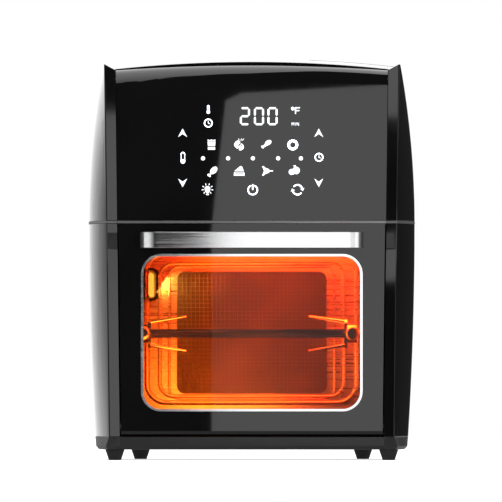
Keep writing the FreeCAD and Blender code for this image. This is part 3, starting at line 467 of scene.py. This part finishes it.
def fries(icon):
    icon.fill((-3.7, 3.2), (-3.4, -1.2), (3.4, -1.2), (3.7, 3.2), (1.9, 2.4), (0, 2.9), (-1.9, 2.4))
    icon.fill((-3.4, -2.2), (-3.4, -4.9), (3.4, -4.9), (3.4, -2.2))
    icon.line((-3.4, 4.3), (-1.8, 3.6), (0, 4.2), (1.8, 3.6), (3.4, 4.3), pen=0.9)


def steak(icon):
    icon.fill((-0.6, 4.0), (-2.8, 2.8), (-4.2, 0.4), (-3.6, -1.8), (-1.2, -4.0), (0.4, -3.2),
              (-0.4, -1.0), (1.0, 1.0), (2.0, 2.4))
    icon.line(*arc(1.8, -2.2, 2.7, -115, 80, 14), pen=0.9)
    icon.ring(1.6, -2.4, 1.0, pen=0.6)
    for x, lean in ((0.6, -0.5), (2.2, 0.6), (3.6, 1.4)):
        icon.line((x, 3.9), (x + lean, 5.4), pen=0.6)


def drumstick(icon):
    icon.fill(*oval(2.0, 1.4, 3.2, 2.2, 28))
    icon.fill((0.6, 2.2), (-3.6, -2.2), (-2.4, -3.4), (2.4, -0.6))
    icon.disc(-3.9, -2.4, 0.95).disc(-3.0, -3.4, 0.85)


def shrimp(icon):
    for start in range(120, 430, 44):
        icon.line(*arc(0, 0, 3.9, start, start + 34, 6), pen=2.4)


def leg(icon):
    icon.fill(*oval(1.4, 0.9, 4.2, 2.7, 48))
    icon.disc(-3.4, -3.4, 1.2).disc(-2.3, -4.4, 1.0).line((-3.0, -3.6), (-1.0, -2.0), pen=1.1)


def cake(icon):
    icon.fill((-4.9, -0.4), (0.9, 4.6), (2.6, 4.2), (4.3, -0.4))
    icon.line((-4.6, -2.0), (4.3, -2.0), pen=0.9).line((-4.6, -3.9), (4.3, -3.9), pen=1.3)
    icon.line((-4.6, -1.9), (-4.6, -4.0), pen=0.8).line((4.3, -1.9), (4.3, -4.0), pen=0.8)


def fish(icon):
    icon.fill(*arc(-1.6, -2.2, 4.9, 118, 33, 8), (3.6, 0), *arc(-1.6, 2.2, 4.9, -33, -118, 8), (-3.0, 0))
    for sign in (1, -1):
        icon.fill((-2.8, 0.6 * sign), (-5.0, 4.2 * sign), (-3.6, 4.6 * sign), (-1.2, 2.4 * sign))
    icon.line((3.0, 0), (5.2, 0), pen=1.0)


def fruits(icon):
    icon.disc(1.5, 0.2, 3.5).ring(-2.7, -1.2, 2.2, pen=0.9).ring(-2.7, -1.2, 0.8, pen=0.5)
    icon.line((1.2, 3.4), (0.4, 4.7), (-0.8, 4.6), pen=0.9)


def bulb(icon):
    icon.disc(0, 0.7, 2.7).fill((-1.9, -0.8), (-1.1, -3.2), (1.1, -3.2), (1.9, -0.8))
    icon.line((-0.9, -4.4), (0.9, -4.4), pen=1.2)
    for angle in range(-50, 231, 40):
        icon.line(*[(reach * math.cos(math.radians(angle)), 0.7 + reach * math.sin(math.radians(angle)))
                    for reach in (3.9, 5.2)], pen=0.8)


def power(icon):
    icon.ring(0, -0.2, 4.4, 112, 428, pen=1.2).line((0, 0.4), (0, 4.6), pen=1.6)


def turning(icon):
    """Two arcs that chase each other, each with an arrowhead."""
    radius, tip_long, tip_half = 4.6, 2.6, 2.1
    for start in (20, 200):
        icon.line(*arc(0, 0, radius, start, start + 118, 12), pen=1.35)
        out = Vector((math.cos(math.radians(start - 4)), math.sin(math.radians(start - 4))))
        spot, ahead = radius * out, tip_long * Vector((out.y, -out.x))
        icon.fill(spot + ahead, spot - tip_half * out, spot + tip_half * out)


SEGMENTS = {
    "top": ((-1, 2), (1, 2)), "middle": ((-1, 0), (1, 0)), "bottom": ((-1, -2), (1, -2)),
    "upper_left": ((-1, 2), (-1, 0)), "upper_right": ((1, 2), (1, 0)),
    "lower_left": ((-1, 0), (-1, -2)), "lower_right": ((1, 0), (1, -2)),
}
LIT = {
    "2": ("top", "upper_right", "middle", "lower_left", "bottom"),
    "0": ("top", "upper_left", "upper_right", "lower_left", "lower_right", "bottom"),
}


def digit(shape, x, z, which):
    """A seven-segment digit of pointed bars with gaps between them."""
    half_wide, half_tall, half_bar, gap = 3.85, 3.8, 0.95, 0.35
    for name in LIT[which]:
        (u0, v0), (u1, v1) = SEGMENTS[name]
        start = Vector((u0 * half_wide, v0 * half_tall))
        end = Vector((u1 * half_wide, v1 * half_tall))
        along = (end - start).normalized()
        across = Vector((-along.y, along.x)) * half_bar
        start += along * gap
        end -= along * gap
        nib = along * half_bar
        outline = [start, start + nib + across, end - nib + across,
                   end, end - nib - across, start + nib - across]
        flat_prism(shape, [((x + point.x) * MM, (z + point.y) * MM) for point in outline])


def letters(shape, x, z, height, pen, runs):
    """Small strokes on a grid two units high, centred at (x, z)."""
    unit = height / 2
    for run in runs:
        stroke(shape, [((x + u * unit) * MM, (z + (v - 1) * unit) * MM) for u, v in run], pen * MM)


def draw_panel(shape):
    """Everything printed or lit on the control panel: x and z in millimetres."""
    for x, which in ((-6.5, "2"), (6.8, "0"), (19.6, "0")):
        digit(shape, x, 325.1, which)
    Icon(shape, 38.7, 332.3).ring(0, 0, 1.1, pen=0.8)
    letters(shape, 43.2, 330.4, 5.4, 1.1, (((-0.7, 0), (-0.7, 2), (0.7, 2)), ((-0.7, 1), (0.5, 1))))
    letters(shape, 41.6, 317.7, 2.3, 0.5, (((-3.2, 0), (-3.2, 2), (-2.4, 1), (-1.6, 2), (-1.6, 0)),
                                           ((-0.4, 0), (-0.4, 2)), ((0.9, 0), (0.9, 2), (2.4, 0), (2.4, 2))))
    thermometer(Icon(shape, -41.1, 331.4, size=0.82), 0.9)
    clock(Icon(shape, -41.1, 318.6))
    thermometer(Icon(shape, -65.1, 285.4, size=1.05), 1.6)
    clock(Icon(shape, 63.5, 286.3))
    for x in (-65.4, 63.3):
        arrow(Icon(shape, x, 309.3), True)
        arrow(Icon(shape, x, 262.2), False)
    for make, x, z in (
            (fries, -38.1, 298.3), (steak, -12.6, 298.3), (drumstick, 13.6, 298.8), (shrimp, 38.7, 298.0),
            (leg, -37.4, 273.0), (cake, -11.8, 273.4), (fish, 14.6, 273.4), (fruits, 40.4, 273.6),
            (bulb, -41.9, 255.6), (power, 0.9, 255.6), (turning, 43.2, 255.6)):
        make(Icon(shape, x, z))
    for x in (-46.1, -22.4, 1.0, 24.9, 46.4):
        Icon(shape, x, 285.3).disc(0, 0, 1.95)


link(mesh_object("panel_print", draw_panel), "housing", "print_white", PRINT_WHITE)


# ---------------------------------------------------------------- softened mouldings

for width, mouldings in (
        (0.9, ("left_upper_panel", "right_upper_panel", "left_lower_panel", "right_lower_panel")),
        (0.6, ("handle_bar", "base_pan", "rear_cover", "rear_spacers", "front_feet", "rear_feet")),
        (0.35, ("door_panel", "control_panel"))):
    for node in mouldings:
        soften(node, width * MM)


# ---------------------------------------------------------------- inside the cavity

def rounded_path(low, high, radius, place, steps=6):
    """A closed path round a rounded rectangle: (u, v) corners in metres, made into points by place."""
    (u0, v0), (u1, v1) = low, high
    points = []
    for cu, cv, start in ((u1 - radius, v1 - radius, 0), (u0 + radius, v1 - radius, 90),
                          (u0 + radius, v0 + radius, 180), (u1 - radius, v0 + radius, 270)):
        for step in range(steps + 1):
            angle = math.radians(start + 90 * step / steps)
            points.append(place(cu + radius * math.cos(angle), cv + radius * math.sin(angle)))
    return points


def wire_screen(shape):
    """Woven wire in a rounded frame, in the place of the plain perforated screen."""
    low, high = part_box("back_mesh")
    middle = (low.y + high.y) / 2
    frame_bar, wire, pitch = 0.9 * MM, 0.36 * MM, 4 * MM
    tube(shape, rounded_path((low.x + frame_bar, low.z + frame_bar), (high.x - frame_bar, high.z - frame_bar),
                             7 * MM, lambda u, v: (u, middle, v)), frame_bar * 0.55, 8, True)
    inset = 1.2 * MM
    across = int((high.x - low.x - 2 * inset) / pitch)
    upward = int((high.z - low.z - 2 * inset) / pitch)
    start_x = (low.x + high.x - across * pitch) / 2
    start_z = (low.z + high.z - upward * pitch) / 2
    lift = 0.3 * MM
    for column in range(1, across):
        x = start_x + column * pitch
        tube(shape, [(x, middle + (lift if (row + column) % 2 else -lift), start_z + row * pitch)
                     for row in range(upward + 1)], wire, 5)
    for row in range(1, upward):
        z = start_z + row * pitch
        tube(shape, [(start_x + column * pitch, middle - (lift if (row + column) % 2 else -lift), z)
                     for column in range(across + 1)], wire, 5)


def painted_shade_sheet(shape):
    """A dark rounded sheet close behind the wires: painted shade standing in for the dark chamber behind the
    screen.
    """
    low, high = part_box("back_mesh")
    front, thick = high.y - 0.1 * MM, 0.4 * MM
    shell(shape, [[shape.verts.new(point) for point in
                   rounded_path((low.x + MM, low.z + MM), (high.x - MM, high.z - MM), 6 * MM,
                                lambda u, v: (u, y, v))]
                  for y in (front, front + thick)])


def pressed_beads(shape):
    """Nested rounded beads pressed into the back and side walls."""
    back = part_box("cavity_back_wall")[0].y
    for half, bottom, top, radius, bead in (
            (100, 54, 197, 18, 2.4), (88, 60, 187, 13, 1.8), (79, 58, 184, 9, 1.2)):
        tube(shape, rounded_path((-half * MM, bottom * MM), (half * MM, top * MM), radius * MM,
                                 lambda u, v: (u, back, v), 10), bead * MM, 12, True)
    for wall, sign in (("cavity_left_wall", -1), ("cavity_right_wall", 1)):
        low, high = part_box(wall)
        face = high.x if sign < 0 else low.x
        for inset in (16, 30):
            tube(shape, rounded_path((low.y + (inset + 6) * MM, low.z + (inset + 4) * MM),
                                     (high.y - inset * MM, high.z - inset * MM), 14 * MM,
                                     lambda u, v: (face, u, v), 8), 1.4 * MM, 10, True)


screen = link(smooth(mesh_object("wire_screen", wire_screen), 60), "housing", "dark_mesh")
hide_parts("back_mesh")
# Painted shade: a dark sheet behind the wires in place of the shadowed chamber behind the screen.
link(mesh_object("painted_shade_sheet", painted_shade_sheet), "housing", "dark_tray")
link(smooth(mesh_object("pressed_beads", pressed_beads), 60), "housing", "cavity_steel")


# ---------------------------------------------------------------- screws

def thumb_screw(node):
    """A knurled thumb nut and its stem, in the place of a plain one."""
    low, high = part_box(node)
    centre = Vector(((low.x + high.x) / 2, low.y, (low.z + high.z) / 2))
    radius, reach = (high.z - low.z) / 2, high.y - low.y
    grip, stem, groove, corners = 9.6 * MM, 2.0 * MM, 0.45 * MM, 112

    def build(shape):
        loops = []
        for height, share in ((0, 0.55), (0.5, 0.86), (1.3, 1.0), (8.1, 1.0), (9.0, 0.86), (9.6, 0.6)):
            loop = []
            for step in range(corners):
                angle = 2 * math.pi * step / corners
                size = radius * share - (groove if step % 4 in (0, 1) and share == 1.0 else 0.0)
                place = Vector((size * math.cos(angle), height * MM, size * math.sin(angle)))
                loop.append(shape.verts.new(centre + place))
            loops.append(loop)
        shell(shape, loops)
        turned(shape, ((grip - MM, 0), (grip - MM, stem), (reach - 0.6 * MM, stem), (reach, stem * 0.6),
                       (reach, 0)), centre, (0, 1, 0), 24)

    piece = link(smooth(mesh_object(node + "_knurled", build), 40), node, SLOT_OF[node])
    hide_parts(node)


for node in ("left_fork_screw", "right_fork_screw"):
    thumb_screw(node)


def head_centres(high):
    """The middle (x, z) of each plain screw head, from the vertices on the heads' outer faces."""
    groups = []
    for vert in NODES["cover_screws"].data.vertices:
        if vert.co.y <= high.y - 0.01 * MM:
            continue
        near = next((group for group in groups if (group[0] - vert.co).length < 12 * MM), None)
        if near is None:
            groups.append([vert.co])
        else:
            near.append(vert.co)
    centres = []
    for group in groups:
        across, up = [point.x for point in group], [point.z for point in group]
        centres.append(((min(across) + max(across)) / 2, (min(up) + max(up)) / 2))
    return centres


def screw_heads(shape):
    """Pan heads with a cross recess, one at each place of the plain heads."""
    low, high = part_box("cover_screws")
    arm, wide, deep, head = 2.0 * MM, 0.45 * MM, 1.1 * MM, 4.0 * MM
    cross = []
    for turn in range(4):
        cross += [spun(u, v, math.pi / 2 * turn) for u, v in ((arm, -wide), (arm, wide), (wide, wide))]
    rim = [(math.cos(math.atan2(v, u)), math.sin(math.atan2(v, u))) for u, v in cross]
    rows = [(low.y + rise * (high.y - low.y), [(share * head * u, share * head * v) for u, v in rim])
            for share, rise in ((1.0, 0.0), (1.0, 0.35), (0.93, 0.7), (0.78, 0.93))]
    rows.append((high.y, cross))
    rows.append((high.y - deep, [(0.7 * u, 0.7 * v) for u, v in cross]))
    for x, z in head_centres(high):
        shell(shape, [[shape.verts.new((x + u, y, z + v)) for u, v in row] for y, row in rows])


heads = link(smooth(mesh_object("cross_screw_heads", screw_heads), 30), "housing", SLOT_OF["cover_screws"])
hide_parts("cover_screws")


# ---------------------------------------------------------------- studio

EYE_DISTANCE = 20
VIEW_WIDTH = 0.4744
EYE = Vector((-0.00076, FRONT_Y - EYE_DISTANCE, 0.086))
AIM = Vector((EYE.x, FRONT_Y, 0.1977))
CARD_GAP = 0.5
FLOOR_HALF = 6
FLOOR_GLOW = 0.6
SKY_IN_REFLECTIONS = 0.018
HEAT = (1.0, 0.045, 0.003)
FLAME = (1.0, 0.15, 0.01)
LAMP = (1.0, 0.45, 0.06)


def emission(name, strength, axis, *span):
    """A plain light, or one whose strength changes along an axis between two (place, strength) pairs."""
    glow = bpy.data.materials.new(name)
    glow.use_nodes = True
    nodes, links = glow.node_tree.nodes, glow.node_tree.links
    nodes.clear()
    light = nodes.new("ShaderNodeEmission")
    light.inputs["Strength"].default_value = strength
    output = nodes.new("ShaderNodeOutputMaterial")
    links.new(light.outputs["Emission"], output.inputs["Surface"])
    if span:
        place = nodes.new("ShaderNodeTexCoord")
        split = nodes.new("ShaderNodeSeparateXYZ")
        links.new(place.outputs["Object"], split.inputs["Vector"])
        fade = nodes.new("ShaderNodeMapRange")
        (start, low), (end, high) = span
        for key, value in (("From Min", start), ("From Max", end), ("To Min", low), ("To Max", high)):
            fade.inputs[key].default_value = value
        links.new(split.outputs[axis], fade.inputs["Value"])
        links.new(fade.outputs["Result"], light.inputs["Strength"])
    return glow


def stage_card(name, build, light):
    """A light panel that only reflections see."""
    card = mesh_object(name, build)
    card.data.materials.append(light)
    bpy.context.scene.collection.objects.link(card)
    card.visible_camera = False
    card.visible_diffuse = False
    card.visible_shadow = False
    card.visible_transmission = False


def flat_card(name, corners, strength, *span):
    """A flat card of even strength through its corners, or one that changes along X."""
    def build(shape):
        shape.faces.new([shape.verts.new(corner) for corner in corners])
    stage_card(name, build, emission(name, strength, "X", *span))


def floor():
    """A wide pale floor, lit evenly, that reflections don't see."""
    def build(shape):
        bmesh.ops.create_grid(shape, x_segments=1, y_segments=1, size=FLOOR_HALF)
    paint = bpy.data.materials.new("pale_floor")
    paint.use_nodes = True
    nodes, links = paint.node_tree.nodes, paint.node_tree.links
    main = nodes["Principled BSDF"]
    main.inputs["Base Color"].default_value = (0.9, 0.9, 0.9, 1)
    main.inputs["Roughness"].default_value = 0.9
    main.inputs["Emission Color"].default_value = (1, 1, 1, 1)
    path = nodes.new("ShaderNodeLightPath")
    glow = nodes.new("ShaderNodeMapRange")
    glow.inputs["To Max"].default_value = FLOOR_GLOW
    links.new(path.outputs["Is Camera Ray"], glow.inputs["Value"])
    links.new(glow.outputs["Result"], main.inputs["Emission Strength"])
    ground = mesh_object("floor", build)
    ground.data.materials.append(paint)
    bpy.context.scene.collection.objects.link(ground)
    ground.visible_glossy = False
    ground.visible_transmission = False


def world():
    """White to the camera and as soft light, and dim in reflections and through glass."""
    sky = bpy.data.worlds.new("studio")
    sky.use_nodes = True
    nodes, links = sky.node_tree.nodes, sky.node_tree.links
    nodes.clear()
    path = nodes.new("ShaderNodeLightPath")
    either = nodes.new("ShaderNodeMath")
    either.operation = "MAXIMUM"
    links.new(path.outputs["Is Glossy Ray"], either.inputs[0])
    links.new(path.outputs["Is Transmission Ray"], either.inputs[1])
    mix = nodes.new("ShaderNodeMixShader")
    links.new(either.outputs["Value"], mix.inputs["Fac"])
    for socket, strength in ((1, 1.0), (2, SKY_IN_REFLECTIONS)):
        tone = nodes.new("ShaderNodeBackground")
        tone.inputs["Color"].default_value = (1, 1, 1, 1)
        tone.inputs["Strength"].default_value = strength
        links.new(tone.outputs["Background"], mix.inputs[socket])
    output = nodes.new("ShaderNodeOutputWorld")
    links.new(mix.outputs["Shader"], output.inputs["Surface"])
    bpy.context.scene.world = sky


def cavity_light(name, place, aim, size, power, colour):
    """A soft square light aimed at a point, which only the surfaces round it see."""
    light = bpy.data.lights.new(name, "AREA")
    light.size = size
    light.energy = power
    light.color = colour
    lamp = bpy.data.objects.new(name, light)
    lamp.location = place
    lamp.rotation_euler = (Vector(aim) - Vector(place)).to_track_quat("-Z", "Y").to_euler()
    lamp.visible_camera = False
    lamp.visible_transmission = False
    bpy.context.scene.collection.objects.link(lamp)


def seen_at(x, z):
    """Where a card in front of the face must reach, to be seen reflected at (x, z) on the face."""
    grow = CARD_GAP / EYE_DISTANCE
    return (x * (1 + grow), FRONT_Y - CARD_GAP, z + (z - EYE.z) * grow)


def upright(start, end, low, high):
    """Corners of an upright card between two (x, y) places."""
    return [(*start, low), (*end, low), (*end, high), (*start, high)]


def canopy(name, low_strength, high_strength, rim):
    """A curved card over the front edge of the roof, with its lower rim at (x, elevation) pairs."""
    reach, half, columns, rows, top, edge_z = 0.6, 0.2, 32, 16, 165, 0.37

    def rim_at(x):
        for (x0, low0), (x1, low1) in zip(rim, rim[1:]):
            if x <= x1:
                return low0 + (low1 - low0) * max(0.0, x - x0) / (x1 - x0)
        return rim[-1][1]

    def build(shape):
        grid = []
        for column in range(columns + 1):
            x = -half + 2 * half * column / columns
            angles = [math.radians(rim_at(x) + (top - rim_at(x)) * row / rows) for row in range(rows + 1)]
            line = [(-reach * math.cos(angle), reach * math.sin(angle)) for angle in angles]
            grid.append([shape.verts.new((x, FRONT_Y + out, edge_z + up)) for out, up in line])
        for first, second in zip(grid, grid[1:]):
            for row in range(rows):
                shape.faces.new((first[row], first[row + 1], second[row + 1], second[row]))
    stage_card(name, build, emission(name, 1.0, "Z", (0.5, low_strength), (0.95, high_strength)))


floor()
world()

# The card in front of the face, and the one over the roof's front edge.
flat_card("front_card", [seen_at(x, z) for x, z in (
    (0.30, 0.372), (0.128, 0.355), (-0.010, 0.347), (-0.0248, 0.340),
    (-0.038, 0.219), (-0.038, 0.0225), (0.30, 0.0225))], 1.75)
canopy("roof_card", 1.5, 3.0, ((-0.115, 15), (-0.087, 34), (0.0, 51), (0.083, 83), (0.115, 88)))
# Cards to each side, for the slanted strips at the front edges.
flat_card("left_strip_card", [(1.5, y, z) for y, z in (
    (-0.95, 0.02), (-0.45, 0.02), (-0.45, 0.368), (-0.95, 0.374))], 1.9)
flat_card("right_strip_card", upright((-1.5, -1.0), (-1.5, -0.49), 0.366, 1.0), 1.9)
# Low, narrow cards at the handle's height, for its rounded ends.
handle_band = (0.185, 0.232)
flat_card("handle_end_card", upright((-0.22, -0.68), (-0.75, -0.48), *handle_band), 1.0,
          (-0.24, 0.0), (-0.60, 1.7))
flat_card("handle_side_card", upright((-0.75, -0.48), (-1.2, -0.05), *handle_band), 1.9)
flat_card("handle_right_card", upright((0.31, -0.65), (1.2, -0.15), *handle_band), 1.75)
# Soft cards for the floor, the sides and the back.
flat_card("floor_card", [(x, y, 0) for x, y in ((-2.5, -2.5), (2.5, -2.5), (2.5, 0.9), (-2.5, 0.9))], 0.45)
flat_card("side_card_left", upright((-3, -0.4), (-3, 1.2), 0.3, 2.4), 0.8)
flat_card("side_card_right", upright((3, -0.4), (3, 1.2), 0.3, 2.4), 0.8)
flat_card("back_left_card", upright((-3, 1.6), (0.06, 1.6), -0.3, 0.46), 1.0, (-0.9, 0.25), (0.0, 1.5))
flat_card("back_high_card", upright((-3, 1.6), (3, 1.6), 0.46, 3.5), 1.3)

cavity_light("glow_above", (0.02, 0.0, 0.208), (0.02, 0.02, 0), 0.16, 2.4, HEAT)
cavity_light("glow_below", (-0.03, -0.05, 0.06), (-0.02, 0.06, 0.2), 0.12, 0.6, FLAME)
cavity_light("glow_lamp", (-0.085, 0.092, 0.167), (-0.02, 0.1, 0.12), 0.02, 0.1, LAMP)

camera = bpy.data.cameras.new("camera")
camera.sensor_width = 36
camera.lens = camera.sensor_width * EYE_DISTANCE / VIEW_WIDTH
eye = bpy.data.objects.new("camera", camera)
eye.location = EYE
eye.rotation_euler = (AIM - EYE).to_track_quat("-Z", "Y").to_euler()
bpy.context.scene.collection.objects.link(eye)
bpy.context.scene.camera = eye
bpy.context.scene.view_settings.view_transform = "Standard"
